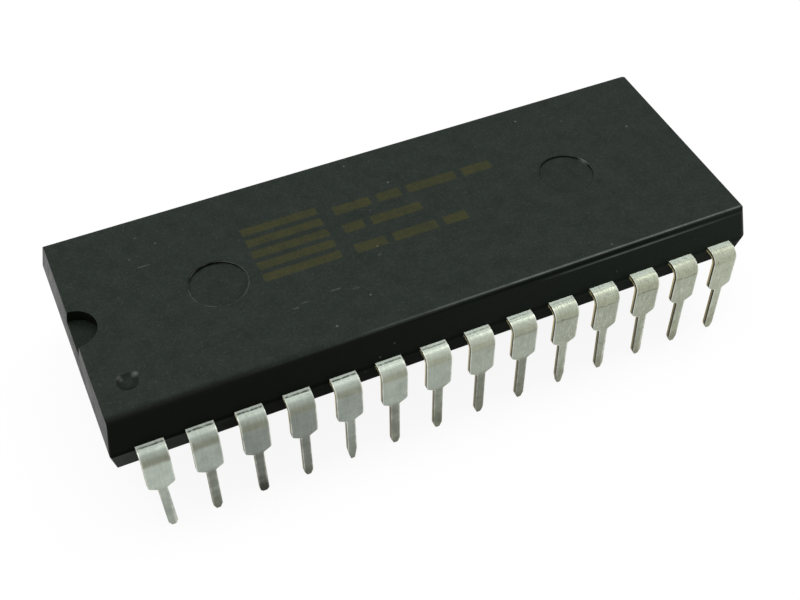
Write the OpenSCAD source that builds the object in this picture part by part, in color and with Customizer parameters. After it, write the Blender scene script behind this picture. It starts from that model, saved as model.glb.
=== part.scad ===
// Wide dual in-line package: two rows of leads pressed from one strip of copper
// alloy, a die on a paddle in the middle, fine wires between them, and one block
// of black moulding compound around it all. Millimetres, +Z up, +X along the rows,
// origin under the middle of the package on the plane that the lead tips stand on.

/* [Package] */
// Leads in each of the two rows
leads_per_row = 14; // [10:2:14]
// Distance from one lead to the next along a row
pitch = 2.54; // [2.4:0.02:2.7]
// How far a lead's outer face stands out from the body's side where it seats
lead_reach = 0.98; // [0.8:0.02:1.3]

/* [Moulded body] */
// Width of the body at its parting line
body_w = 13.84; // [13.2:0.02:14.2]
// Distance from the middle of an end lead to the end of the body
end_margin = 1.97; // [1.5:0.01:2.5]
// Height of the upper half above the lead plane
upper_h = 1.9; // [1.6:0.05:2.4]
// Depth of the lower half below the lead plane
lower_h = 1.52; // [1.2:0.02:1.9]
// Draft of the long side faces, in degrees
side_draft = 13; // [5:0.5:16]
// Draft of the two end faces, in degrees
end_draft = 9.5; // [5:0.5:14]
// Radius of the rounding along the two long top edges
long_edge_r = 0.35; // [0.2:0.05:0.5]
// Height of the upright band at the parting line
land_h = 0.3; // [0.28:0.01:0.4]
// Radius that softens the edges of the moulding
edge_r = 0.1; // [0.05:0.01:0.15]
// Radius of the two upright corners at the notch end
corner_r = 0.2; // [0.15:0.05:0.6]
// Radius of the two upright corners at the far end
far_corner_r = 0.6; // [0.15:0.05:0.8]

/* [Marks moulded in] */
// Radius of the half-round index notch at the first lead's end
notch_r = 1.25; // [0.9:0.05:1.6]
// Depth of the index notch
notch_depth = 0.7; // [0.4:0.05:1]
// Diameter of the round dimple beside the first lead
dimple_d = 1.1; // [0.8:0.05:1.4]
// Depth of the dimple, which is part of a ball
dimple_depth = 0.18; // [0.1:0.01:0.25]
// Distance of the dimple's middle from the end of the top face
dimple_from_end = 1.64; // [1.4:0.02:2]
// Distance of the dimple's middle from the long edge of the top face
dimple_from_side = 2.18; // [1.8:0.02:2.6]
// Diameter of the round marks that the ejector pins leave
ejector_d = 3.15; // [2.4:0.05:3.8]
// Depth of the ejector marks
ejector_depth = 0.1; // [0.04:0.01:0.12]
// Distance of an ejector mark's middle from the end of the face
ejector_from_end = 7.75; // [6.5:0.05:9]

/* [Leads outside the body] */
// Thickness of the strip that the leads are cut from
lead_t = 0.25; // [0.2:0.01:0.27]
// Width of a lead's shoulder
shoulder_w = 1.44; // [1.3:0.02:1.6]
// Width of a lead's leg below the shoulder
leg_w = 0.5; // [0.4:0.02:0.6]
// Drop from the lead plane to the foot of the shoulder
shoulder_drop = 2.6; // [2.3:0.05:3]
// Height of the taper from the shoulder to the leg
taper_h = 0.28; // [0.2:0.02:0.4]
// Length of a leg below the foot of the shoulder
leg_len = 3.32; // [2.9:0.02:3.8]
// Height of the narrowed tip of a leg
tip_h = 0.34; // [0.2:0.02:0.5]
// Width of the blunt end of a leg
tip_w = 0.22; // [0.15:0.01:0.35]
// Radius of a shoulder's two lower corners
shoulder_r = 0.3; // [0.1:0.01:0.34]
// Radius of the inner corners where the taper meets the leg
neck_r = 0.16; // [0.05:0.01:0.2]
// Inside radius of the bend in each lead
bend_r = 0.35; // [0.25:0.01:0.4]
// Outward lean of the leads from upright, in degrees
splay = 1.5; // [0:0.25:4]

/* [Lead frame inside the body] */
// Length of the paddle that carries the die
paddle_l = 5.6; // [5.2:0.1:6.2]
// Width of the paddle
paddle_w = 3.8; // [3.4:0.1:4.2]
// Width of the two bars that tie the paddle to the ends
tie_w = 0.8; // [0.6:0.05:0.9]
// Gap between the paddle and the finger tips
finger_gap = 0.3; // [0.25:0.01:0.4]
// Width of a finger along its run
finger_w = 0.36; // [0.3:0.01:0.4]
// Width of a finger at its tip
finger_tip_w = 0.26; // [0.2:0.01:0.3]
// Length of the full-width root of a finger inside the body
root_len = 0.9; // [0.8:0.05:1.1]
// Diameter of the hole that the compound fills to lock each lead
lock_hole_d = 0.5; // [0.3:0.05:0.6]
// How much further out than its tip an end lead's finger first bends
end_knee_out = 1.37; // [1.2:0.02:1.6]
// Distance from a middle lead's neck to the first bend of its finger
middle_knee_in = 0.15; // [0.05:0.01:0.3]

/* [Die and wires] */
// Length of the silicon die
die_l = 3.6; // [3:0.1:4.4]
// Width of the silicon die
die_w = 2.6; // [2.2:0.1:3.2]
// Thickness of the silicon die
die_t = 0.35; // [0.25:0.01:0.45]
// Thickness of the layer that bonds the die to the paddle
attach_t = 0.04; // [0.03:0.005:0.08]
// Width of the rim of bonding material round the die
attach_rim = 0.12; // [0.05:0.01:0.3]
// Distance of the bond pads from the die's edge
pad_inset = 0.14; // [0.1:0.01:0.25]
// Diameter of a bond wire
wire_d = 0.04; // [0.03:0.005:0.06]
// Height of a wire's loop above the die
loop_h = 0.22; // [0.15:0.01:0.4]
// Length of wire that lies flat on a finger tip
stitch_len = 0.1; // [0.06:0.01:0.14]

/* [Hidden] */
// Heights
seat_z = leg_len;
plane_z = seat_z + shoulder_drop;
lead_top = plane_z + lead_t / 2;
lead_under = plane_z - lead_t / 2;
top_z = plane_z + upper_h;
under_z = plane_z - lower_h;
attach_top = lead_top + attach_t;
die_top = attach_top + die_t;

// Plan of the body
last_x = (leads_per_row - 1) * pitch / 2;
body_l = 2 * (last_x + end_margin);
side_y = body_w / 2;
draft_up = upper_h - land_h / 2;
draft_down = lower_h - land_h / 2;
top_y = side_y - draft_up * tan(side_draft);
under_y = side_y - draft_down * tan(side_draft);
top_x = body_l / 2 - draft_up * tan(end_draft);
corner_room = 0.05;
dimple_ball_r = (pow(dimple_d / 2, 2) + pow(dimple_depth, 2)) / (2 * dimple_depth);
under_x = body_l / 2 - draft_down * tan(end_draft);

// Bend of a lead, seen from its end: outwards is +, up is +
bend_angle = 90 - splay;
outer_r = bend_r + lead_t;
bend_z = lead_under - bend_r;
bend_out_z = bend_z + outer_r * cos(bend_angle);
lean = (bend_out_z - seat_z) / tan(bend_angle);
bend_y = side_y + lead_reach - outer_r * sin(bend_angle) - lean;

// Fingers of one quarter of the lead frame
quarter = leads_per_row / 2;
side_tips = floor(quarter * 0.45);
long_tips = quarter - side_tips;
long_step = paddle_l / 2 / long_tips;
side_step = (paddle_w / 2 - tie_w / 2 - finger_gap) / (side_tips - 0.5);
first_tip_y = tie_w / 2 + finger_gap + finger_tip_w / 2;
long_tip_y = paddle_w / 2 + finger_gap;
neck_len = 0.4;
tip_run = 0.3;
knee_first = first_tip_y + end_knee_out;
knee_last = side_y - root_len - neck_len - middle_knee_in;
knee_step = (knee_last - knee_first) / (quarter - 1);
run_step = (knee_last - long_tip_y - 2 * tip_run) / (long_tips - 1);

// Worn legs: lead number, height of the ground tip, sideways lean at the tip
worn_legs = [[1, 0.3, 0.12], [3, 0.16, 0.04], [5, 0.8, 0], [10, 0.7, 0.03],
    [11, 0.4, 0.1], [12, 0.34, 0.1]];

// Fineness of arcs
arc_steps = 6;
bend_steps = 16;
round_fn = 64;
wire_sides = 6;
wire_steps = 5;
clear = 1;

lead_count = 2 * leads_per_row;
function two_digits(i) = str(i < 10 ? "0" : "", i);
function lead_name(i) = str("lead_", two_digits(i));
function wire_name(i) = str("bond_wire_", two_digits(i));

// Outline whose corners, given as [x, y, radius], are rounded by short arcs
function unit(v) = v / norm(v);
function corner(a, b, c, r) =
    let (u = unit(a - b), v = unit(c - b), half = acos(u * v) / 2)
    let (reach = r / tan(half), middle = b + unit(u + v) * r / sin(half))
    let (from = b + u * reach - middle, to = b + v * reach - middle)
    let (start = atan2(from[1], from[0]))
    let (turn = (atan2(to[1], to[0]) - start + 540) % 360 - 180)
    [for (k = [0:arc_steps]) middle + r * [cos(start + turn * k / arc_steps),
                                           sin(start + turn * k / arc_steps)]];
function flat(p) = [p[0], p[1]];
function rounded(points) =
    let (n = len(points))
    [for (i = [0:n - 1])
        each points[i][2] > 0
            ? corner(flat(points[(i + n - 1) % n]), flat(points[i]),
                     flat(points[(i + 1) % n]), points[i][2])
            : [flat(points[i])]];

// Closed outline of a half outline and its mirror image about the second axis
function both_halves(points) =
    let (n = len(points))
    concat(points, [for (i = [n - 1:-1:0]) [-points[i][0], points[i][1], points[i][2]]]);

// Section of the body across its width, and along its length
across = both_halves([
    [under_y, under_z, edge_r],
    [side_y, plane_z - land_h / 2, 0],
    [side_y, plane_z + land_h / 2, 0],
    [top_y, top_z, long_edge_r]]);
along = both_halves([
    [under_x, under_z, edge_r],
    [body_l / 2, plane_z - land_h / 2, 0],
    [body_l / 2, plane_z + land_h / 2, 0],
    [top_x, top_z, edge_r]]);

// Plan of the body with its four corners rounded. It stands clear of the side faces
// by corner_room and narrows with them past the flat face, so it trims only corners.
plan_x = body_l / 2 + corner_room;
plan_y = side_y + corner_room;
plan = [
    [plan_x, -plan_y, far_corner_r],
    [plan_x, plan_y, far_corner_r],
    [-plan_x, plan_y, corner_r],
    [-plan_x, -plan_y, corner_r]];
module narrowing_plan(height, end_x, end_y) {
    past = 1 + clear / height;
    linear_extrude(past * height, scale = [1 - past * (body_l / 2 - end_x) / plan_x,
                                           1 - past * (side_y - end_y) / plan_y])
        polygon(rounded(plan));
}

module body_block() {
    intersection() {
        rotate([90, 0, 90])
            linear_extrude(body_l + clear, center = true) polygon(rounded(across));
        rotate([90, 0, 0])
            linear_extrude(body_w + clear, center = true) polygon(rounded(along));
        translate([0, 0, plane_z]) {
            narrowing_plan(upper_h, top_x, top_y);
            rotate([180, 0, 0]) narrowing_plan(lower_h, under_x, under_y);
        }
    }
}

// Shallow marks of the two ejector pins, on the top face and under the body
module ejector_marks() {
    for (end = [-1, 1]) {
        translate([end * (top_x - ejector_from_end), 0, top_z - ejector_depth])
            cylinder(h = clear, d = ejector_d, $fn = round_fn);
        translate([end * (under_x - ejector_from_end), 0, under_z + ejector_depth - clear])
            cylinder(h = clear, d = ejector_d, $fn = round_fn);
    }
}

module first_lead_marks() {
    translate([-top_x, 0, top_z - notch_depth])
        cylinder(h = notch_depth + clear, r = notch_r, $fn = round_fn);
    translate([dimple_from_end - top_x, dimple_from_side - top_y,
               top_z - dimple_depth + dimple_ball_r])
        sphere(r = dimple_ball_r, $fn = round_fn);
}

module moulded_body() {
    color([0.16, 0.18, 0.17])
    difference() {
        body_block();
        ejector_marks();
        first_lead_marks();
        paddle_shape();
        attach_shape();
        die_shape();
        for (i = [1:lead_count]) {
            placed(i) finger(row_index(i));
            placed(i) wire(row_index(i));
        }
    }
}

// Leads 1 to leads_per_row stand in the near row, from the notch end. The rest
// stand in the far row and are the same leads turned half round.
function row_index(i) = (i - 1) % leads_per_row;
function lead_x(k) = k * pitch - last_x;
module placed(i) {
    rotate([0, 0, i > leads_per_row ? 180 : 0]) children();
}

// Which way a lead's finger turns, and its rank in its quarter from the end lead
function way(k) = lead_x(k) < 0 ? -1 : 1;
function rank(k) = k < quarter ? k : leads_per_row - 1 - k;
function at_side(k) = rank(k) < side_tips;

// Finger tip and the second bend before it, drawn for the near row
function tip_point(k) = at_side(k)
    ? [way(k) * (paddle_l / 2 + finger_gap), -first_tip_y - rank(k) * side_step]
    : [way(k) * (quarter - rank(k) - 0.5) * long_step, -long_tip_y];
function tip_direction(k) = at_side(k) ? [-way(k), 0] : [0, 1];
function second_knee(k) =
    tip_point(k) - tip_direction(k)
        * (tip_run + (at_side(k) ? 0 : rank(k) - side_tips) * run_step);
function first_knee(k) =
    [lead_x(k), -knee_first - knee_step * rank(k)];

// Route of a finger as [x, y, width] from the body's side to its tip
function finger_route(k) =
    let (a = first_knee(k), b = second_knee(k), tip = tip_point(k), x = lead_x(k))
    [[x, -side_y, shoulder_w],
     [x, root_len - side_y, shoulder_w],
     [x, root_len + neck_len - side_y, finger_w],
     [a[0], a[1], finger_w],
     [b[0], b[1], finger_tip_w],
     [tip[0], tip[1], finger_tip_w]];

// Edge of a route on one side: each point is moved sideways, mitred at the bends
function route_edge(route, hand) =
    let (n = len(route))
    [for (i = [0:n - 1])
        let (back = unit(flat(route[max(i, 1)]) - flat(route[max(i, 1) - 1])),
             ahead = unit(flat(route[min(i, n - 2) + 1]) - flat(route[min(i, n - 2)])),
             mid = unit(back + ahead))
        flat(route[i]) + hand * [-mid[1], mid[0]] * route[i][2] / 2 / (mid * ahead)];
function reversed(points) = [for (i = [len(points) - 1:-1:0]) points[i]];

module finger(k) {
    route = finger_route(k);
    translate([0, 0, lead_under])
    difference() {
        linear_extrude(lead_t)
            polygon(concat(route_edge(route, 1), reversed(route_edge(route, -1))));
        translate([lead_x(k), root_len / 2 - side_y, -clear])
            cylinder(h = lead_t + 2 * clear, d = lock_hole_d, $fn = round_fn);
    }
}

// Side view of a lead outside the body, with the distance outwards and the height
function bend_arc(r) =
    [for (k = [0:bend_steps])
        [bend_y + r * sin(bend_angle * k / bend_steps),
         bend_z + r * cos(bend_angle * k / bend_steps)]];
function foot(r) =
    let (from = bend_arc(r)[bend_steps])
    [from[0] + from[1] / tan(bend_angle), 0];
bent_strip = concat(
    [[side_y - lead_t, lead_top]], bend_arc(outer_r), [foot(outer_r)],
    [foot(bend_r)], reversed(bend_arc(bend_r)), [[side_y - lead_t, lead_under]]);

// Front view: shoulder, taper, leg and rounded tip. A worn leg has its tip ground
// over another height, and leans aside by its own amount.
function wear_of(i) =
    let (found = [for (leg = worn_legs) if (leg[0] == i) leg])
    len(found) > 0 ? found[0] : [i, tip_h, 0];
function front(i) =
    let (wear = wear_of(i))
    [for (p = both_halves([
        [shoulder_w / 2, lead_top + clear, 0],
        [shoulder_w / 2, seat_z + taper_h, shoulder_r],
        [leg_w / 2, seat_z, neck_r],
        [leg_w / 2, wear[1], leg_w / 2],
        [tip_w / 2, 0, tip_w / 4]]))
        [p[0] + wear[2] * max(0, 1 - p[1] / seat_z), p[1], p[2]]];

// Part of a lead outside the body: the bent strip cut to the front view
module formed_end(i) {
    translate([lead_x(row_index(i)), 0, 0])
    intersection() {
        rotate([90, 0, -90])
            linear_extrude(shoulder_w, center = true) polygon(bent_strip);
        rotate([90, 0, 0])
            linear_extrude(body_w) polygon(rounded(front(i)));
    }
}

module lead(i) {
    color([0.72, 0.74, 0.71])
    placed(i) union() {
        finger(row_index(i));
        formed_end(i);
    }
}

// Flat pad under the die, held during moulding by a bar to each end of the body
module paddle_shape() {
    translate([0, 0, plane_z]) {
        cube([paddle_l, paddle_w, lead_t], center = true);
        for (end = [-1, 1])
            translate([end * (paddle_l + body_l) / 4, 0, 0])
                cube([(body_l - paddle_l) / 2, tie_w, lead_t], center = true);
    }
}

module die_paddle() {
    color([0.74, 0.55, 0.38]) union() paddle_shape();
}

module attach_shape() {
    translate([0, 0, lead_top + attach_t / 2])
        cube([die_l + 2 * attach_rim, die_w + 2 * attach_rim, attach_t], center = true);
}

module die_attach() {
    color([0.75, 0.75, 0.76]) attach_shape();
}

module die_shape() {
    translate([0, 0, attach_top + die_t / 2])
        cube([die_l, die_w, die_t], center = true);
}

module silicon_die() {
    color([0.35, 0.36, 0.42]) die_shape();
}

// Bond pad on the die for a lead, drawn for the near row
pad_x = die_l / 2 - pad_inset;
pad_y = die_w / 2 - pad_inset;
function pad_point(k) = at_side(k)
    ? [way(k) * pad_x, tip_point(k)[1] * pad_y * 2 / paddle_w]
    : [tip_point(k)[0] * pad_x * 2 / paddle_l, -pad_y];
function land_point(k) = tip_point(k) - tip_direction(k) * finger_tip_w / 2;

// Points of a wire as [distance along its plan line, height]: up off the pad,
// over in a cubic curve, down to the finger tip and flat along it
wire_r = wire_d / 2;
wire_rest = lead_top + wire_r * cos(180 / wire_sides);
function bezier(a, b, c, d, t) =
    a * pow(1 - t, 3) + 3 * b * t * pow(1 - t, 2) + 3 * c * t * t * (1 - t) + d * pow(t, 3);
function wire_path(run) =
    let (start = [0, die_top], foot = [run - stitch_len, wire_rest])
    concat(
        [for (t = [0:wire_steps])
            bezier(start, [0, die_top + 1.5 * loop_h], [run / 2, die_top + loop_h], foot,
                   t / wire_steps)],
        [[run, wire_rest]]);

// Ring of the wire round one point of its path, mitred so the wire keeps its size
function wire_ring(path, i) =
    let (n = len(path))
    let (back = i == 0 ? [0, 1] : unit(path[i] - path[i - 1]),
         ahead = i == n - 1 ? [1, 0] : i == 0 ? [0, 1] : unit(path[i + 1] - path[i]),
         mid = unit(back + ahead), grow = 1 / (mid * ahead))
    [for (s = [0:wire_sides - 1])
        let (angle = 360 * s / wire_sides, up = wire_r * sin(angle) * grow)
        [path[i][0] - up * mid[1], wire_r * cos(angle), path[i][1] + up * mid[0]]];

module wire(k) {
    pad = pad_point(k);
    run = land_point(k) - pad;
    path = wire_path(norm(run) + stitch_len / 2);
    n = len(path);
    last = (n - 1) * wire_sides;
    translate([pad[0], pad[1], 0])
    rotate([0, 0, atan2(run[1], run[0])])
    polyhedron(
        points = [for (i = [0:n - 1]) each wire_ring(path, i)],
        faces = concat(
            [[for (s = [0:wire_sides - 1]) s]],
            [[for (s = [wire_sides - 1:-1:0]) last + s]],
            [for (i = [0:n - 2], s = [0:wire_sides - 1])
                let (a = i * wire_sides + s, b = i * wire_sides + (s + 1) % wire_sides)
                [a, a + wire_sides, b + wire_sides, b]]));
}

module bond_wire(i) {
    color([0.86, 0.68, 0.28]) placed(i) wire(row_index(i));
}

moulded_body();
die_paddle();
die_attach();
silicon_die();
for (i = [1:lead_count])
    lead(i);
for (i = [1:lead_count])
    bond_wire(i);
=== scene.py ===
import bpy
import numpy as np
from mathutils import Matrix, Vector


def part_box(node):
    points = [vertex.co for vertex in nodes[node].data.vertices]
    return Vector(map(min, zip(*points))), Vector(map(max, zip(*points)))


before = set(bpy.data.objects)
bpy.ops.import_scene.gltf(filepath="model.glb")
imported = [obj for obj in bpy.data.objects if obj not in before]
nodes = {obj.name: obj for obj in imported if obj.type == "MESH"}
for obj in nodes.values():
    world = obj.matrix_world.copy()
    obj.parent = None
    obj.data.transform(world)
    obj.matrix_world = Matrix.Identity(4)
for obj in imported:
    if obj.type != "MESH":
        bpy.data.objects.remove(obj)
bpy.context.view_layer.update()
scene = bpy.context.scene
mm = 0.001

# The package stands on its lead tips, seen from above its near left corner. The
# camera's place and turn come from the 14 near leads, which stand 2.54 mm apart:
# their places in the picture fit one camera only. focal_pixels is its focal length
# in pixels of the picture.
picture_width = 800
focal_pixels = 1200.5
camera_at = Vector((-19.53, -42.30, 54.40)) * mm
camera_right = Vector((0.91102, -0.41231, 0.00743))
camera_forward = Vector((0.27826, 0.60133, -0.74898))
camera_data = bpy.data.cameras.new("camera")
camera_data.sensor_width = 36.0
camera_data.lens = camera_data.sensor_width * focal_pixels / picture_width
camera_data.clip_start = 1 * mm
camera_data.clip_end = 10.0
camera = bpy.data.objects.new("camera", camera_data)
scene.collection.objects.link(camera)
camera_back = -camera_forward.normalized()
camera_side = (camera_right - camera_right.project(camera_back)).normalized()
camera_up = camera_back.cross(camera_side)
turn = Matrix((camera_side, camera_up, camera_back)).transposed().to_4x4()
camera.matrix_world = Matrix.Translation(camera_at) @ turn
scene.camera = camera
scene.view_settings.view_transform = "Standard"

# The table top is a plain pale round sheet: points at even angles on one circle. The
# camera and the glossy surfaces see it mixed with plain white, which softens the
# shadows on it, and the object is lit by the sheet's own colour.
floor_radius = 400 * mm
floor_points = 64
floor_colour = (0.93, 0.93, 0.93, 1)
floor_glow = 0.90
floor_rough = 0.9
angles = np.linspace(0, 2 * np.pi, floor_points, endpoint=False)
rim = np.stack([np.cos(angles), np.sin(angles), np.zeros(floor_points)], 1) * floor_radius
floor_mesh = bpy.data.meshes.new("floor")
floor_mesh.from_pydata(rim.tolist(), [], [list(range(floor_points))])
floor = bpy.data.objects.new("floor", floor_mesh)
scene.collection.objects.link(floor)


def set_input(tree, socket, value):
    """Link a value that is a socket itself, and set any other."""
    if isinstance(value, bpy.types.NodeSocket):
        tree.links.new(value, socket)
    elif value is not None:
        socket.default_value = value


def add_node(tree, kind, inputs=None, **settings):
    node = tree.nodes.new(kind)
    for name, value in settings.items():
        setattr(node, name, value)
    for name, value in (inputs or {}).items():
        set_input(tree, node.inputs[name], value)
    return node


def math_node(tree, operation, a, b=None, c=None):
    node = tree.nodes.new("ShaderNodeMath")
    node.operation = operation
    for socket, value in zip(node.inputs, (a, b, c)):
        set_input(tree, socket, value)
    return node.outputs[0]


def new_material(name):
    material = bpy.data.materials.new(name)
    material.use_nodes = True
    tree = material.node_tree
    return material, tree, tree.nodes["Principled BSDF"]


def seen_directly(tree):
    """1 for the rays that show a surface itself: from the camera, a gloss or a glass."""
    rays = add_node(tree, "ShaderNodeLightPath").outputs
    seen = math_node(tree, "MAXIMUM", rays["Is Camera Ray"], rays["Is Glossy Ray"])
    return math_node(tree, "MAXIMUM", seen, rays["Is Transmission Ray"])


floor_material, tree, shader = new_material("pale_table")
shader.inputs["Base Color"].default_value = floor_colour
shader.inputs["Roughness"].default_value = floor_rough
shader.inputs["Specular IOR Level"].default_value = 0.0
white = add_node(tree, "ShaderNodeEmission", {"Color": (1, 1, 1, 1), "Strength": 1.0})
table_mix = add_node(tree, "ShaderNodeMixShader", {
    0: math_node(tree, "MULTIPLY", seen_directly(tree), floor_glow),
    1: shader.outputs["BSDF"], 2: white.outputs["Emission"]})
tree.links.new(table_mix.outputs["Shader"], tree.nodes["Material Output"].inputs["Surface"])
floor_mesh.materials.append(floor_material)

# The studio sky is brightest overhead and falls off towards the walls, so that bent
# metal shows one bright band. A broad lamp hangs overhead, and a small window high on
# the right lights the long edges.
wall_light, full_light = 0.3, 1.0
wall_ends, sky_starts = 0.1, 0.6


def ramp(tree, value, start, end, low=0.0, high=1.0, smooth=False):
    """Map value from start..end to low..high, held flat outside."""
    node = add_node(tree, "ShaderNodeMapRange", {
        "Value": value, "From Min": start, "From Max": end, "To Min": low, "To Max": high})
    node.interpolation_type = "SMOOTHSTEP" if smooth else "LINEAR"
    return node.outputs["Result"]


world = bpy.data.worlds.new("studio")
scene.world = world
world.use_nodes = True
tree = world.node_tree
sky_direction = add_node(tree, "ShaderNodeTexCoord").outputs["Generated"]
sky_height = add_node(tree, "ShaderNodeSeparateXYZ", {"Vector": sky_direction}).outputs["Z"]
sky_level = ramp(tree, sky_height, wall_ends, sky_starts, wall_light, full_light, smooth=True)
sky = tree.nodes["Background"].inputs
set_input(tree, sky["Strength"], math_node(tree, "MAXIMUM", sky_level, seen_directly(tree)))
sky["Color"].default_value = (1, 1, 1, 1)


def add_lamp(name, place, size, power):
    """A round lamp that points at the object."""
    data = bpy.data.lights.new(name, "AREA")
    data.shape = "DISK"
    data.size = size
    data.energy = power
    lamp = bpy.data.objects.new(name, data)
    lamp.location = place
    lamp.rotation_euler = (-Vector(place)).to_track_quat("-Z", "Y").to_euler()
    scene.collection.objects.link(lamp)


add_lamp("overhead", (-60 * mm, 60 * mm, 320 * mm), size=300 * mm, power=0.30)
add_lamp("window", (154 * mm, 58 * mm, 278 * mm), size=110 * mm, power=0.16)


# Every metal piece of the frame is stamped from rolled copper alloy strip, so each
# shows the same two marks: fine lines along the rolling direction, and soft clouds
# where the surface has dulled. Both run from 0 to 1 around 0.5.
def noise(tree, point, scale, detail=3.0, roughness=0.6):
    return add_node(tree, "ShaderNodeTexNoise", {
        "Vector": point, "Scale": scale, "Detail": detail, "Roughness": roughness}
        ).outputs["Fac"]


def stretched(tree, point, scale):
    """The point with each of its three parts multiplied by its own factor."""
    return add_node(tree, "ShaderNodeMapping", {"Vector": point, "Scale": scale}
                    ).outputs["Vector"]


rolled = bpy.data.node_groups.new("rolled_strip", "ShaderNodeTree")
rolled.interface.new_socket("Point", in_out="INPUT", socket_type="NodeSocketVector")
for name in ("Lines Scale", "Cloud Scale"):
    rolled.interface.new_socket(name, in_out="INPUT", socket_type="NodeSocketFloat")
for name in ("Lines", "Clouds"):
    rolled.interface.new_socket(name, in_out="OUTPUT", socket_type="NodeSocketFloat")
group_in = rolled.nodes.new("NodeGroupInput").outputs
group_out = rolled.nodes.new("NodeGroupOutput").inputs
across_only = stretched(rolled, group_in["Point"], (1.0, 0.05, 0.05))
set_input(rolled, group_out["Lines"],
          noise(rolled, across_only, group_in["Lines Scale"], detail=4.0))
set_input(rolled, group_out["Clouds"],
          noise(rolled, group_in["Point"], group_in["Cloud Scale"], detail=5.0, roughness=0.65))


def rolled_marks(tree, point, lines_scale, cloud_scale):
    node = add_node(tree, "ShaderNodeGroup", node_tree=rolled)
    for name, value in (("Point", point), ("Lines Scale", lines_scale),
                        ("Cloud Scale", cloud_scale)):
        set_input(tree, node.inputs[name], value)
    return node.outputs["Lines"], node.outputs["Clouds"]


# The paddle and its two tie bars are bare copper alloy strip, spot plated with dull
# silver where the die sits. They are stamped in one piece with the leads, and only
# the cut ends of the tie bars come to the surface, at the two ends of the body.
copper_dark = (0.42, 0.22, 0.13, 1)
copper_light = (0.66, 0.38, 0.24, 1)
copper_tarnished = (0.115, 0.070, 0.045, 1)
silver_spot = (0.72, 0.72, 0.70, 1)
body_half_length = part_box("moulded_body")[1][0] / mm
tarnish_starts, tarnish_full = body_half_length - 0.3, body_half_length - 0.2
spot_half_x, spot_half_y = 2.5, 1.7
copper_smooth, copper_rough = 0.32, 0.5


def object_point_mm(tree):
    """The point on the piece in millimetres, as a vector and as its three parts."""
    point = add_node(tree, "ShaderNodeTexCoord").outputs["Object"]
    point = add_node(tree, "ShaderNodeVectorMath", {0: point, "Scale": 1 / mm},
                     operation="SCALE").outputs["Vector"]
    parts = add_node(tree, "ShaderNodeSeparateXYZ", {"Vector": point}).outputs
    return point, parts["X"], parts["Y"], parts["Z"]


def product(tree, *factors):
    """All the factors multiplied, from the left."""
    result = factors[0]
    for factor in factors[1:]:
        result = math_node(tree, "MULTIPLY", result, factor)
    return result


def mix_colour(tree, factor, a, b):
    node = add_node(tree, "ShaderNodeMix", data_type="RGBA")
    set_input(tree, node.inputs["Factor"], factor)
    set_input(tree, node.inputs["A"], a)
    set_input(tree, node.inputs["B"], b)
    return node.outputs["Result"]


def add_bump(tree, shader, height, strength, distance):
    bump = add_node(tree, "ShaderNodeBump", {
        "Height": height, "Strength": strength, "Distance": distance})
    set_input(tree, shader.inputs["Normal"], bump.outputs["Normal"])


def give_finish(names, material):
    for name in names:
        nodes[name].data.materials.clear()
        nodes[name].data.materials.append(material)


paddle_material, tree, shader = new_material("paddle_metal")
point, x, y, _ = object_point_mm(tree)
lines, clouds = rolled_marks(tree, point, lines_scale=14.0, cloud_scale=2.0)
tone = math_node(tree, "MULTIPLY_ADD", lines, 0.5, product(tree, clouds, 0.5))
copper = mix_colour(tree, ramp(tree, tone, 0.35, 0.65), copper_dark, copper_light)
from_middle_x = math_node(tree, "ABSOLUTE", x)
from_middle_y = math_node(tree, "ABSOLUTE", y)
spot = product(tree, math_node(tree, "LESS_THAN", from_middle_x, spot_half_x),
               math_node(tree, "LESS_THAN", from_middle_y, spot_half_y))
cut_end = ramp(tree, from_middle_x, tarnish_starts, tarnish_full, 0.0, 0.85)
copper = mix_colour(tree, cut_end, copper, copper_tarnished)
set_input(tree, shader.inputs["Base Color"], mix_colour(tree, spot, copper, silver_spot))
shader.inputs["Metallic"].default_value = 1.0
set_input(tree, shader.inputs["Roughness"], ramp(tree, tone, 0.3, 0.7, copper_smooth, copper_rough))
add_bump(tree, shader, lines, strength=0.3, distance=0.01 * mm)
give_finish(["die_paddle"], paddle_material)

# The die is stuck down with a thin layer of epoxy filled with silver flakes, which
# squeezes out to a narrow rim and looks like grey paste with small bright grains.
bond_grey = (0.36, 0.36, 0.37, 1)
flake_white = (0.82, 0.82, 0.80, 1)
paste_rough, flake_rough, flake_metal = 0.65, 0.35, 0.8
bond_material, tree, shader = new_material("die_bond")
point = object_point_mm(tree)[0]
flakes = ramp(tree, noise(tree, point, scale=40.0, detail=2.0), 0.52, 0.66)
set_input(tree, shader.inputs["Base Color"], mix_colour(tree, flakes, bond_grey, flake_white))
set_input(tree, shader.inputs["Metallic"], product(tree, flakes, flake_metal))
set_input(tree, shader.inputs["Roughness"],
          ramp(tree, flakes, 0.0, 1.0, paste_rough, flake_rough))
give_finish(["die_attach"], bond_material)

# The die is a slip of polished silicon, sawn on its four sides. Its face carries a
# plain field of circuit blocks, and a row of bright metal pads along each edge.
silicon_grey = (0.10, 0.105, 0.13, 1)
block_dark = (0.13, 0.10, 0.16, 1)
block_light = (0.22, 0.25, 0.24, 1)
pad_bright = (0.80, 0.80, 0.78, 1)
die_half_x, die_half_y, die_top = (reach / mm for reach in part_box("silicon_die")[1])
block_length, block_height, block_gap = 0.42, 0.252, 0.02
pad_pitch, pad_half_gap, pad_band = 0.3, 0.04, 0.2
die_skin = 0.01
sawn_rough, polished_rough = 0.6, 0.18
die_material, tree, shader = new_material("silicon")
point, x, y, z = object_point_mm(tree)
blocks = add_node(tree, "ShaderNodeTexBrick", {
    "Vector": point, "Color1": block_dark, "Color2": block_light, "Mortar": silicon_grey,
    "Scale": 1.0, "Mortar Size": block_gap, "Brick Width": block_length,
    "Row Height": block_height}).outputs["Color"]
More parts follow.
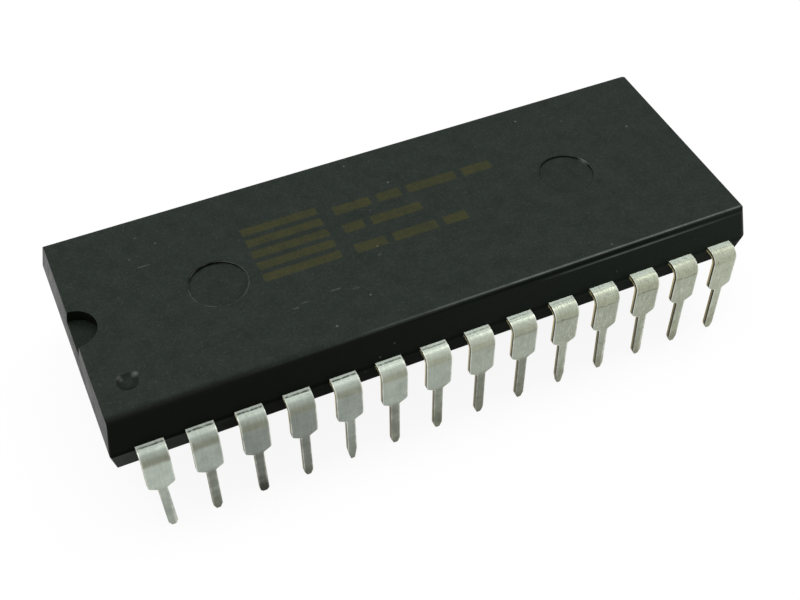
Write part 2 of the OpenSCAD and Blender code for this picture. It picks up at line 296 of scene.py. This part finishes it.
from_x_edge = math_node(tree, "SUBTRACT", die_half_x, math_node(tree, "ABSOLUTE", x))
from_y_edge = math_node(tree, "SUBTRACT", die_half_y, math_node(tree, "ABSOLUTE", y))
from_edge = math_node(tree, "MINIMUM", from_x_edge, from_y_edge)
in_band = math_node(tree, "LESS_THAN", from_edge, pad_band)
from_gap = math_node(tree, "MINIMUM", math_node(tree, "PINGPONG", x, pad_pitch / 2),
                     math_node(tree, "PINGPONG", y, pad_pitch / 2))
pad = product(tree, math_node(tree, "GREATER_THAN", from_edge, pad_band / 3),
              math_node(tree, "GREATER_THAN", from_gap, pad_half_gap))
on_face = math_node(tree, "GREATER_THAN", z, die_top - die_skin)
face = mix_colour(tree, in_band, blocks, mix_colour(tree, pad, silicon_grey, pad_bright))
set_input(tree, shader.inputs["Base Color"], mix_colour(tree, on_face, silicon_grey, face))
set_input(tree, shader.inputs["Metallic"], product(tree, in_band, pad, on_face))
set_input(tree, shader.inputs["Roughness"],
          ramp(tree, on_face, 0.0, 1.0, sawn_rough, polished_rough))
give_finish(["silicon_die"], die_material)

# Each bond wire is drawn gold, bonded to a pad of the die and stitched to the tip of
# one finger of the frame. Its surface is bright, with faint patches of deeper tone.
gold_deep = (0.76, 0.52, 0.17, 1)
gold_bright = (0.92, 0.70, 0.30, 1)
gold_smooth, gold_rough = 0.15, 0.28
wire_names = sorted(name for name in nodes if name.startswith("bond_wire_"))
wire_material, tree, shader = new_material("gold_wire")
sheen = noise(tree, object_point_mm(tree)[0], scale=6.0, detail=2.0)
set_input(tree, shader.inputs["Base Color"],
          mix_colour(tree, ramp(tree, sheen, 0.35, 0.65), gold_deep, gold_bright))
shader.inputs["Metallic"].default_value = 1.0
set_input(tree, shader.inputs["Roughness"], ramp(tree, sheen, 0.3, 0.7, gold_smooth, gold_rough))
give_finish(wire_names, wire_material)

# The body is one block of black epoxy compound, filled with fine glassy powder,
# pressed round the lead frame in a heated mould. The top and underside are grained
# and satin, the drafted sides are smoother and darker, and grains show as specks.
body_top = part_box("moulded_body")[1][2] / mm
top_edge_y = -6.22
top_skin, upper_depth = 0.03, 0.5
top_dark = (0.0128, 0.0175, 0.0141, 1)
top_light = (0.0226, 0.0287, 0.0237, 1)
side_dark = (0.0040, 0.0050, 0.0037, 1)
side_sheen_colour = (0.0115, 0.0155, 0.0120, 1)
low_lighter_colour = (0.038, 0.044, 0.037, 1)
body_material, tree, shader = new_material("moulding_compound")
point, x, y, z = object_point_mm(tree)
mottle = noise(tree, point, scale=0.9, detail=5.0, roughness=0.65)
grain = noise(tree, point, scale=9.0, detail=4.0, roughness=0.7)
facing = add_node(tree, "ShaderNodeNewGeometry").outputs["True Normal"]
facing = add_node(tree, "ShaderNodeSeparateXYZ", {"Vector": facing}).outputs
upward = math_node(tree, "ABSOLUTE", facing["Z"])
on_top = math_node(tree, "GREATER_THAN", z, body_top - top_skin)
upper = math_node(tree, "GREATER_THAN", z, body_top - upper_depth)

# flat_face is 1 on the top and underside and 0 on the drafted sides, with a sharper
# change along the near long edge. The left half of that edge is given as dark a colour as the side, a
# painted shade
edge_shade_y, edge_shade_x = (-5.85, -6.4), (-12.0, -4.0)
near_edge_y = (-5.9, -6.1)
flat_from_upward, flat_from_upward_near, flat_upward = 0.45, 0.88, 0.998
edge_shade = product(tree, ramp(tree, y, *edge_shade_y, smooth=True), ramp(tree, x, *edge_shade_x, 1.0, 0.0))
flat_from = ramp(tree, y, *near_edge_y, flat_from_upward, flat_from_upward_near)
flat_face = product(tree, ramp(tree, upward, flat_from, flat_upward, smooth=True),
                    math_node(tree, "SUBTRACT", 1.0, edge_shade))

# The sides grow lighter to the right, a painted sheen, and where they face down they are
# lighter at the left end too. Flat faces below the top, such as the floor of the notch, are darker than
# it: painted shade in the recesses
sheen_x, sheen_drift = (-9.0, 19.0), 6.0
low_lighter_x, low_lighter_drift, low_lighter_most = (-14.5, -10.5), 3.0, 0.9
recess_shade_depth, recess_shade_most = (0.06, 0.25), 0.45
painted_sheen = ramp(tree, math_node(tree, "MULTIPLY_ADD", mottle, sheen_drift, x), *sheen_x)
side_colour = mix_colour(tree, math_node(tree, "POWER", painted_sheen, 1.5), side_dark, side_sheen_colour)
low_lighter = ramp(tree, math_node(tree, "MULTIPLY_ADD", mottle, low_lighter_drift, x),
                *low_lighter_x, low_lighter_most, 0.0)
low_lighter = product(tree, ramp(tree, facing["Z"], -0.05, -0.15), low_lighter)
side_colour = mix_colour(tree, low_lighter, side_colour, low_lighter_colour)
top_tone = math_node(tree, "MULTIPLY_ADD", mottle, 0.45, product(tree, grain, 0.55))
top_colour = mix_colour(tree, ramp(tree, top_tone, 0.36, 0.64), top_dark, top_light)
# Painted shade: flat faces sunk below the top are darkened towards the side colour, more the deeper
# they lie
recess_shade = ramp(tree, math_node(tree, "SUBTRACT", body_top, z), *recess_shade_depth, 0.0, recess_shade_most)
top_colour = mix_colour(tree, recess_shade, top_colour, side_dark)
ground = mix_colour(tree, flat_face, side_colour, top_colour)

# Single grains of the filler: a few cells of a cell pattern hold a bright dot, and
# the grain itself has finer ones on the flat faces
speck_colour = (0.110, 0.120, 0.105, 1)
cells_per_mm, empty_share, dot_radius = 1.2, 0.84, (0.03, 0.10)
cells = add_node(tree, "ShaderNodeTexVoronoi", {"Vector": point, "Scale": cells_per_mm}).outputs
cell_draw = add_node(tree, "ShaderNodeSeparateColor", {"Color": cells["Color"]}).outputs["Red"]
dots = product(tree, math_node(tree, "GREATER_THAN", cell_draw, empty_share),
               ramp(tree, cells["Distance"], *dot_radius, 0.9, 0.0),
               ramp(tree, flat_face, 0.0, 1.0, 0.45, 1.0))
fine_dots = product(tree, ramp(tree, grain, 0.58, 0.80, 0.0, 0.26), flat_face)
ground = mix_colour(tree, math_node(tree, "MAXIMUM", dots, fine_dots), ground, speck_colour)

# Ink marks, faded and crumbled: a square field of stripes and three rows of bars, each
# row given by its place and its bars' lengths
ink_colour = (0.048, 0.046, 0.013, 1)
ink_blur = 0.05
bar_height, bar_gap, rows_start = 0.66, 0.45, -2.9
bar_rows = ((2.55, (2.2, 1.4, 3.0, 1.8)), (1.05, (1.2, 3.0)), (-0.6, (1.8, 2.6, 1.4)))
stripe_x, stripe_length, stripe_height, stripe_step = -5.95, 4.4, 0.55, 0.9
middle_stripe_y, stripes_each_way = 1.2, 2


def away_from(tree, value, place):
    return math_node(tree, "ABSOLUTE", math_node(tree, "SUBTRACT", value, place))


def near(tree, value, place, full, gone, strength=1.0):
    """Strength while value is within full of place, falling to 0 at gone from it."""
    return ramp(tree, away_from(tree, value, place), full, gone, strength, 0.0)


def soft_box(tree, across, along, middle, size, blur):
    """1 inside a rectangle given by its middle and size, falling to 0 over blur."""
    return product(tree, *[
        near(tree, value, centre, width / 2 - blur, width / 2 + blur)
        for value, centre, width in zip((across, along), middle, size)])


bars = [((stripe_x, middle_stripe_y + stripe_step * k), (stripe_length, stripe_height))
        for k in range(-stripes_each_way, stripes_each_way + 1)]
for row_y, lengths in bar_rows:
    start = rows_start
    for length in lengths:
        bars.append(((start + length / 2, row_y), (length, bar_height)))
        start += length + bar_gap
ink = 0.0
for middle, size in bars:
    ink = math_node(tree, "MAXIMUM", ink, soft_box(tree, x, y, middle, size, ink_blur))
crumbs = noise(tree, point, scale=13.0, detail=2.0, roughness=0.7)
fade = product(tree, ramp(tree, mottle, 0.3, 0.7, 0.45, 0.95), ramp(tree, crumbs, 0.36, 0.6, 0.35, 1.0))
ground = mix_colour(tree, product(tree, ink, on_top, fade), ground, ink_colour)

# The pin 1 dimple has painted shade on its wall, darkest on the near left, and two painted
# highlights on its far rim, each given by its middle, radius and strength
# One light colour serves the painted highlights here and on the ejector mark, and the real scratches
scratch_and_highlight_colour = (0.115, 0.125, 0.118, 1)
dimple_middle, dimple_radius, dark_within = (-16.55, -4.336), 0.55, 0.50
dimple_floor, floor_dark = (0.12, 0.34), 0.15
dimple_shade_x, far_right_dark, near_left_dark = (-18.4, -19.7), 0.3, 0.6
dimple_glints = (((-16.86, -3.96), 0.2, 0.4), ((-16.11, -4.0), 0.22, 0.75))


def distance_to(tree, across, along, middle):
    """The distance in the top face from a point of it."""
    away = [math_node(tree, "POWER", math_node(tree, "SUBTRACT", value, centre), 2.0)
            for value, centre in zip((across, along), middle)]
    return math_node(tree, "SQRT", math_node(tree, "ADD", *away))


from_dimple = distance_to(tree, x, y, dimple_middle)
slanting_x = math_node(tree, "MULTIPLY_ADD", y, 0.6, x)
dimple_wall_shade = product(tree, ramp(tree, from_dimple, dimple_radius, dark_within),
                      ramp(tree, from_dimple, *dimple_floor, floor_dark, 1.0),
                      ramp(tree, slanting_x, *dimple_shade_x, far_right_dark, near_left_dark),
                      upper)
ground = mix_colour(tree, dimple_wall_shade, ground, side_dark)
dimple_highlight = math_node(tree, "MAXIMUM", *[
    ramp(tree, distance_to(tree, x, y, middle), 0.05, radius, strength, 0.0)
    for middle, radius, strength in dimple_glints])
dimple_highlight = product(tree, dimple_highlight, ramp(tree, grain, 0.38, 0.55, 0.4, 1.0), upper)
ground = mix_colour(tree, dimple_highlight, ground, scratch_and_highlight_colour)

# Each ejector mark has painted shadow along the far left of its step and a thin, broken
# rim with a painted highlight and more gloss, both weaker on the right mark, which has one painted
# glint on its rim instead
mark_middle, mark_radius = 10.44, 1.575
glint_at = (mark_middle + 1.46, 0.60)
between_marks, right_shadow, right_rim_highlight = (-5.0, 5.0), 0.4, 0.25
from_rim = math_node(tree, "MINIMUM", *[
    away_from(tree, distance_to(tree, x, y, (middle, 0.0)), mark_radius)
    for middle in (-mark_middle, mark_middle)])
along_mark = math_node(tree, "MULTIPLY_ADD", math_node(tree, "SIGN", x), -mark_middle, x)
far_left = ramp(tree, math_node(tree, "MULTIPLY_ADD", along_mark, -0.6, y), 0.75, 1.1)
mark_shadow = product(tree, ramp(tree, from_rim, 0.05, 0.11, 0.85, 0.0), far_left,
                ramp(tree, x, *between_marks, 1.0, right_shadow), upper, flat_face)
ground = mix_colour(tree, mark_shadow, ground, side_dark)
glint = product(tree, ramp(tree, from_rim, 0.03, 0.10, 1.0, 0.0),
                ramp(tree, distance_to(tree, x, y, glint_at), 0.08, 0.42, 0.9, 0.0), upper)
ground = mix_colour(tree, glint, ground, scratch_and_highlight_colour)
rim_highlight_and_gloss = product(tree, ramp(tree, from_rim, 0.02, 0.07, 0.4, 0.0),
                    ramp(tree, noise(tree, point, scale=1.6, detail=2.0), 0.42, 0.6),
                    ramp(tree, x, *between_marks, 1.0, right_rim_highlight), flat_face, upper)

# A few light scratches run along the top, each given by its middle, length and strength
scratches = (((-5.0, -2.87), 0.55, 0.5), ((-3.95, -3.2), 0.4, 0.25), ((-7.35, -3.25), 0.3, 0.45),
             ((-6.8, -3.05), 0.35, 0.3), ((-1.9, -1.5), 0.2, 0.4), ((-13.65, 2.8), 0.65, 0.45),
             ((-13.5, 5.0), 0.15, 0.55))
scratch_width, scratch_blur = 0.07, 0.04
scratched = 0.0
for middle, length, strength in scratches:
    stroke = soft_box(tree, x, y, middle, (length, scratch_width), scratch_blur)
    scratched = math_node(tree, "MAXIMUM", scratched, product(tree, stroke, strength))
scratched = product(tree, scratched, ramp(tree, grain, 0.36, 0.5, 0.35, 1.0), on_top)
ground = mix_colour(tree, scratched, ground, scratch_and_highlight_colour)

# A painted highlight lies along the right half of the near long top edge, and it is glossier
# there. A painted dark reflection lies right under it, and towards the right end a second,
# fainter painted highlight lies below that one
edge_highlight_colour = (0.062, 0.072, 0.064, 1)
dark_reflection_colour = (0.0010, 0.0016, 0.0012, 1)
edge_highlight_z = (body_top - 0.14, body_top - 0.06)
dark_reflection_y, dark_reflection_z = top_edge_y - 0.18, (body_top - 0.25, body_top - 0.16)
low_highlight_y, low_highlight_z = (top_edge_y - 0.12, top_edge_y - 0.20), body_top - 0.20
dark_reflection_fades, low_highlight_starts, low_highlight_fades = (12.0, 18.0), (5.0, 10.0), (13.0, 17.0)
right_half = ramp(tree, x, -6.0, 4.0)
edge_highlight = product(tree, near(tree, y, top_edge_y, 0.02, 0.08),
                    ramp(tree, z, *edge_highlight_z), right_half)
low_highlight = product(tree, near(tree, z, low_highlight_z, 0.02, 0.06),
                   ramp(tree, x, *low_highlight_starts, 0.0, 0.8),
                   ramp(tree, x, *low_highlight_fades, 1.0, 0.15), ramp(tree, y, *low_highlight_y))
dark_reflection = product(tree, near(tree, y, dark_reflection_y, 0.05, 0.12, 0.65), right_half,
                    ramp(tree, x, *dark_reflection_fades, 1.0, 0.5), ramp(tree, z, *dark_reflection_z))
ground = mix_colour(tree, dark_reflection, ground, dark_reflection_colour)
highlight_and_gloss = product(tree, math_node(tree, "MAXIMUM", edge_highlight, low_highlight),
                  ramp(tree, mottle, 0.35, 0.6, 0.6, 1.0))
highlight_and_gloss = math_node(tree, "MAXIMUM", highlight_and_gloss, rim_highlight_and_gloss)
set_input(tree, shader.inputs["Base Color"], mix_colour(tree, highlight_and_gloss, ground, edge_highlight_colour))

# The compound shines like a thin coat: a little more on the flat faces than on the
# sides, hardly at all where it overhangs, and most at the two ends and along the painted highlights
side_rough, face_rough, mottle_rough, coat_rough = 0.34, 0.55, 0.1, 0.26
body_specular = 0.003
side_gloss, face_gloss_more, overhang_share, highlight_gloss = 0.05, 0.06, 0.05, 0.8
end_gloss_least, end_gloss_most = 0.18, 0.40
rough = ramp(tree, flat_face, 0.0, 1.0, side_rough, face_rough)
rough = math_node(tree, "MULTIPLY_ADD", mottle, mottle_rough, rough)
set_input(tree, shader.inputs["Roughness"], rough)
shader.inputs["Specular IOR Level"].default_value = body_specular
gloss = product(tree, math_node(tree, "MULTIPLY_ADD", flat_face, face_gloss_more, side_gloss),
                ramp(tree, upward, 0.05, 0.15),
                ramp(tree, facing["Z"], -0.2, -0.05, overhang_share, 1.0),
                math_node(tree, "SUBTRACT", 1.0, dark_reflection))
end_face = ramp(tree, math_node(tree, "ABSOLUTE", facing["X"]), 0.5, 0.7)
end_gloss = product(tree, end_face, ramp(tree, mottle, 0.35, 0.65, end_gloss_least, end_gloss_most))
gloss = math_node(tree, "ADD", math_node(tree, "ADD", gloss, end_gloss),
                  product(tree, highlight_and_gloss, highlight_gloss))
set_input(tree, shader.inputs["Coat Weight"], gloss)
shader.inputs["Coat Roughness"].default_value = coat_rough
add_bump(tree, shader, grain, strength=0.3, distance=0.02 * mm)
give_finish(["moulded_body"], body_material)

# The 28 leads are stamped from copper alloy strip, bent down after moulding and
# plated with dull tin. The outer faces are soft grey, the punched rims carry a painted
# highlight, and the cut sides show the yellower alloy beneath a dark line. The legs
# lean outward by the slope lean.
pitch = 2.54
lead_thick = 0.25
shoulder_half, leg_half = 0.72, 0.25
seat_height = 3.32
bend_middle_y, bend_middle_z, bend_outer = 7.244, 5.445, 0.60
lean = 0.0262
tin_dark = (0.285, 0.317, 0.280, 1)
tin_light = (0.395, 0.437, 0.385, 1)
left_to_right, last_leads = (-2.0, 4.0), (5.0, 7.0)
lead_names = sorted(name for name in nodes if name.startswith("lead_"))
lead_material, tree, shader = new_material("tinned_lead")
point, x, y, z = object_point_mm(tree)
lines, clouds = rolled_marks(tree, point, lines_scale=10.0, cloud_scale=1.3)
fine = noise(tree, point, scale=7.0)
tone = math_node(tree, "MULTIPLY_ADD", lines, 0.30, math_node(
    tree, "MULTIPLY_ADD", clouds, 0.45, product(tree, fine, 0.25)))
tone = ramp(tree, tone, 0.36, 0.64)

# Where the point lies on its own lead: across the strip, and how deep in it, from 0 at
# the outer face to 1 at the inner. Each row's leads count from -6 on the left to 7, and
# most looks change from left to right over the middle ones
row_place = math_node(tree, "ADD", math_node(tree, "DIVIDE", x, pitch), 0.5)
lead_number = math_node(tree, "ROUND", row_place)
across = product(tree, away_from(tree, row_place, lead_number), pitch)
outward = math_node(tree, "SUBTRACT", math_node(tree, "ABSOLUTE", y), bend_middle_y)
above = math_node(tree, "SUBTRACT", z, bend_middle_z)
below = math_node(tree, "MAXIMUM", product(tree, above, -1.0), 0.0)
side_reach = math_node(tree, "MAXIMUM", math_node(tree, "MULTIPLY_ADD", below, -lean, outward), 0.0)
up_reach = math_node(tree, "MAXIMUM", above, 0.0)
from_bend = math_node(tree, "SQRT", math_node(
    tree, "ADD", math_node(tree, "POWER", side_reach, 2.0), math_node(tree, "POWER", up_reach, 2.0)))
depth = math_node(tree, "DIVIDE", math_node(tree, "SUBTRACT", bend_outer, from_bend), lead_thick)


def times_colour(tree, factor, colour, tint):
    """The colour multiplied by a tint, as far as factor says."""
    node = add_node(tree, "ShaderNodeMix", {"Factor": factor}, data_type="RGBA",
                    blend_type="MULTIPLY")
    set_input(tree, node.inputs["A"], colour)
    set_input(tree, node.inputs["B"], tint)
    return node.outputs["Result"]


# The tin of each lead has its own shine: the third and fourth are the dullest, the
# ones at the two ends the brightest, and the right ones are a little warmer
warm_tint = (1.0, 0.97, 0.86, 1)
dullest_lead = -3.4
shine = math_node(tree, "ADD", ramp(tree, lead_number, *last_leads, 0.96, 1.20),
                  ramp(tree, lead_number, -6.0, -4.0, 0.22, 0.0))
shine = math_node(tree, "SUBTRACT", shine, near(tree, lead_number, dullest_lead, 0.5, 2.4, 0.36))
# Over the top of the bend the tin is painted brighter, a painted highlight, more on the right leads
bend_highlight = ramp(tree, lead_number, -3.0, -0.5, 0.90, 1.28)
shine = ramp(tree, above, 0.15, -0.25, bend_highlight, shine)
tin = mix_colour(tree, tone, tin_dark, tin_light)
tin = add_node(tree, "ShaderNodeVectorMath", {0: tin, "Scale": shine},
               operation="SCALE").outputs["Vector"]
tin = times_colour(tree, ramp(tree, lead_number, -2.0, 5.0), tin, warm_tint)

# The flat strip next to the body is painted brighter, a painted highlight, and is a little
# rougher; below the top of the bend a darker, warmer band is painted, a painted reflection of the dim
# walls
flat_highlight_colour = (0.78, 0.86, 0.76, 1)
dark_band_tint = (0.70, 0.67, 0.59, 1)
flat_highlight_past = math_node(tree, "SUBTRACT", outward, ramp(tree, lead_number, *left_to_right, 0.07, 0.0))
flat_highlight = product(tree, ramp(tree, flat_highlight_past, 0.05, -0.08),
                ramp(tree, lead_number, -6.0, 1.0, 0.72, 1.0))
tin = mix_colour(tree, flat_highlight, tin, flat_highlight_colour)
bend_dark_band = product(tree, ramp(tree, above, 0.52, 0.22, smooth=True),
                        ramp(tree, above, -0.26, 0.08, smooth=True),
                        ramp(tree, lead_number, *left_to_right, 1.0, 0.6),
                        ramp(tree, lead_number, *last_leads, 1.0, 0.5))
tin = times_colour(tree, bend_dark_band, tin, dark_band_tint)

# The right leads carry more marks of the bending tool: broken dark streaks over the
# bend, a thin crease where it ends, and a few bright streaks on the flat below
pit_tint = (0.55, 0.55, 0.52, 1)
streak_and_highlight_colour = (0.72, 0.74, 0.66, 1)
crease_above = 0.15
tooled = ramp(tree, lead_number, 0.0, 3.0)
streaks = noise(tree, stretched(tree, point, (1.0, 0.18, 0.18)), scale=13.0, roughness=0.7)
streaks = product(tree, ramp(tree, streaks, 0.54, 0.68), tooled)
bend_streaks = product(tree, streaks, ramp(tree, above, -0.05, 0.15, 0.0, 0.75))
tin = times_colour(tree, bend_streaks, tin, pit_tint)
wavering = math_node(tree, "MULTIPLY_ADD", clouds, 0.5, above)
crease = product(tree, near(tree, wavering, crease_above, 0.03, 0.09, 0.8), tooled,
                 ramp(tree, fine, 0.38, 0.5, 0.3, 1.0), ramp(tree, lead_number, 6.0, 7.0, 1.0, 0.0))
tin = times_colour(tree, crease, tin, pit_tint)
low_streaks = product(tree, streaks, ramp(tree, above, -0.2, -0.5, 0.0, 0.4))
tin = mix_colour(tree, low_streaks, tin, streak_and_highlight_colour)

# The punched rims carry a painted highlight. The strip narrows from shoulder to leg above the seat
taper_height = 0.28
half_width = ramp(tree, z, seat_height + taper_height, seat_height, shoulder_half, leg_half)
from_strip_edge = math_node(tree, "SUBTRACT", half_width, across)
lead_rim_highlight = product(tree, ramp(tree, from_strip_edge, 0.02, 0.075, 1.0, 0.0),
                     ramp(tree, clouds, 0.35, 0.6, 0.25, 0.85))
tin = mix_colour(tree, lead_rim_highlight, tin, streak_and_highlight_colour)

# Every leg is darker a little and some more, each given by its lead and how much. The
# tips are darker still, one much darker than that, and small pits lie all over
leg_dark_tint = (0.56, 0.55, 0.52, 1)
tip_tint = (0.74, 0.71, 0.65, 1)
darkest_tip_tint = (0.38, 0.37, 0.36, 1)
darker_everywhere = 0.12
darker_legs = ((-6, 0.35), (-5, 1.0), (-4, 1.0), (-3, 0.5),
                 (-1, 1.0), (0, 1.0), (1, 1.0), (2, 1.0))
darkest_tip_lead = -4
tip_z, darkest_tip_z = (3.2, 1.0), (2.2, 1.0)
same_number = 0.1
leg_darkening = darker_everywhere
for number, amount in darker_legs:
    is_this_lead = math_node(tree, "COMPARE", lead_number, number, same_number)
    leg_darkening = math_node(tree, "MULTIPLY_ADD", is_this_lead, amount, leg_darkening)
is_leg = ramp(tree, z, seat_height + 0.25, seat_height - 0.1)
leg_darkening = product(tree, leg_darkening, ramp(tree, clouds, 0.3, 0.65, 1.0, 0.7), is_leg)
tin = times_colour(tree, leg_darkening, tin, leg_dark_tint)
tip = product(tree, ramp(tree, math_node(tree, "MULTIPLY_ADD", clouds, 2.0, z), *tip_z),
              ramp(tree, lead_number, -6.0, -5.0, 0.25, 1.0))
tin = times_colour(tree, tip, tin, tip_tint)
darkest_tip = product(tree, math_node(tree, "COMPARE", lead_number, darkest_tip_lead, same_number),
                ramp(tree, math_node(tree, "ADD", clouds, z), *darkest_tip_z))
tin = times_colour(tree, darkest_tip, tin, darkest_tip_tint)
pits = product(tree, ramp(tree, noise(tree, point, scale=9.0, detail=2.0), 0.60, 0.70),
               ramp(tree, lead_number, *left_to_right, 0.15, 0.7))
tin = times_colour(tree, pits, tin, pit_tint)

# A broken dark line, a painted reflection of the dark body, runs across the shoulder's top face where
# the bend starts
body_reflection_colour = (0.10, 0.11, 0.10, 1)
body_reflection_at, top_face_above = -0.07, 0.5
wavering = math_node(tree, "MULTIPLY_ADD", clouds, 0.12, outward)
body_reflection = product(tree, near(tree, wavering, body_reflection_at, 0.04, 0.075),
                 ramp(tree, lead_number, *left_to_right, 1.0, 0.2), ramp(tree, across, 0.70, 0.62),
                 math_node(tree, "GREATER_THAN", above, top_face_above),
                 ramp(tree, fine, 0.35, 0.55, 0.35, 0.95))
tin = mix_colour(tree, body_reflection, tin, body_reflection_colour)

# The cut sides are bare alloy: dark along the outer face, olive further in, and golden
# at the inner face near the bend
alloy_gold = (0.62, 0.55, 0.28, 1)
alloy_olive = (0.24, 0.205, 0.10, 1)
alloy_dark = (0.030, 0.028, 0.020, 1)
normal = add_node(tree, "ShaderNodeNewGeometry").outputs["True Normal"]
normal_x = add_node(tree, "ShaderNodeSeparateXYZ", {"Vector": normal}).outputs["X"]
cut_side = ramp(tree, math_node(tree, "ABSOLUTE", normal_x), 0.45, 0.55)
alloy = mix_colour(tree, ramp(tree, depth, 0.45, 0.65), alloy_olive, alloy_gold)
alloy = mix_colour(tree, ramp(tree, z, seat_height, bend_middle_z), alloy_olive, alloy)
alloy = mix_colour(tree, ramp(tree, depth, 0.42, 0.56), alloy_dark, alloy)
set_input(tree, shader.inputs["Base Color"], mix_colour(tree, cut_side, tin, alloy))
shader.inputs["Metallic"].default_value = 1.0
rough = math_node(tree, "ADD", ramp(tree, tone, 0.0, 1.0, 0.48, 0.38), product(tree, flat_highlight, 0.2))
rough = math_node(tree, "ADD", rough, ramp(tree, lead_number, 2.0, 6.0, 0.0, 0.08))
set_input(tree, shader.inputs["Roughness"], rough)
add_bump(tree, shader, tone, strength=0.2, distance=0.01 * mm)
give_finish(lead_names, lead_material)
